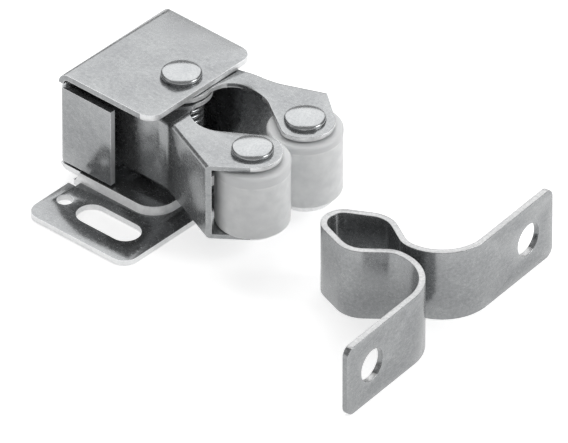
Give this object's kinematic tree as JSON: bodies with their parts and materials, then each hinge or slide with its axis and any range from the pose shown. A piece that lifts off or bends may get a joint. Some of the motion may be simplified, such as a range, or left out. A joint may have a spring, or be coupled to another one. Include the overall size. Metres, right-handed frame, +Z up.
{
  "type": "roller catch",
  "caption": "Sprung roller catch for a cupboard door, two folded arms with nylon rollers in a folded steel housing, with its round-nosed folded striker.",
  "frame": {"origin": "on the pivot axis, in the mounting plane under the wings", "axes": "+Z up along the pivot axis and away from the mounting plane, -Y to the front where the striker comes in, +X across to the right"},
  "size_m": [0.041, 0.0576, 0.0157],
  "materials": {
    "plated_steel": "zinc-plated sheet steel, satin",
    "rivet_steel": "zinc-plated rivet, smooth",
    "spring_steel": "bright spring wire",
    "white_nylon": "translucent white nylon, satin"
  },
  "bodies": {
    "catch_body": {"housing": "plated_steel", "pivot_rivet": "rivet_steel", "spring": "spring_steel", "striker": "plated_steel"},
    "left_swing": {"left_arm": "plated_steel", "left_roller_rivet": "rivet_steel"},
    "right_swing": {"right_arm": "plated_steel", "right_roller_rivet": "rivet_steel"},
    "left_wheel": {"left_roller": "white_nylon"},
    "right_wheel": {"right_roller": "white_nylon"}
  },
  "joints": [
    {"name": "left_arm_hinge", "type": "hinge", "parent": "catch_body", "child": "left_swing", "pos_m": [0, 0, 0.008], "axis": [0, 0, -1], "range_deg": [0, 18], "stiffness_Nm_per_rad": 0.05, "springref_deg": -9.74, "deforming": ["spring"]},
    {"name": "right_arm_hinge", "type": "hinge", "parent": "catch_body", "child": "right_swing", "pos_m": [0, 0, 0.008], "axis": [0, 0, 1], "range_deg": [0, 18], "stiffness_Nm_per_rad": 0.05, "springref_deg": -9.74, "deforming": ["spring"]},
    {"name": "left_roller_spin", "type": "hinge", "parent": "left_swing", "child": "left_wheel", "pos_m": [-0.0046, -0.0153, 0.008], "axis": [0, 0, 1], "continuous": true},
    {"name": "right_roller_spin", "type": "hinge", "parent": "right_swing", "child": "right_wheel", "pos_m": [0.0046, -0.0153, 0.008], "axis": [0, 0, 1], "continuous": true}
  ]
}
